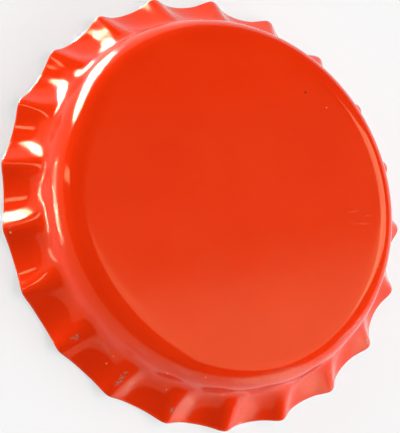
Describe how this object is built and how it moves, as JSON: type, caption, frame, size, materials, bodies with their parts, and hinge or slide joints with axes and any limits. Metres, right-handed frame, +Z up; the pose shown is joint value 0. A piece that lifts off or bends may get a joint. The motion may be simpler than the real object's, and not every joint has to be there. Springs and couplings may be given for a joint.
{
  "type": "crown bottle cap",
  "caption": "Crown bottle cap stamped from lacquered sheet steel, with a flat round panel, a rounded shoulder, a flared fluted skirt and a moulded sealing liner inside.",
  "frame": {"origin": "on the cap's axis, in the plane of the skirt's feet that the cap stands on", "axes": "+Z up along the cap's axis and out of its flat panel, +X through the middle of a valley of the skirt"},
  "size_m": [0.0319, 0.032, 0.006],
  "materials": {
    "red_lacquer": "glossy orange-red lacquer on the outside of tinned steel",
    "liner_compound": "soft off-white sealing compound"
  },
  "bodies": {
    "root": {"crown_shell": "red_lacquer", "sealing_liner": "liner_compound"}
  },
  "joints": []
}
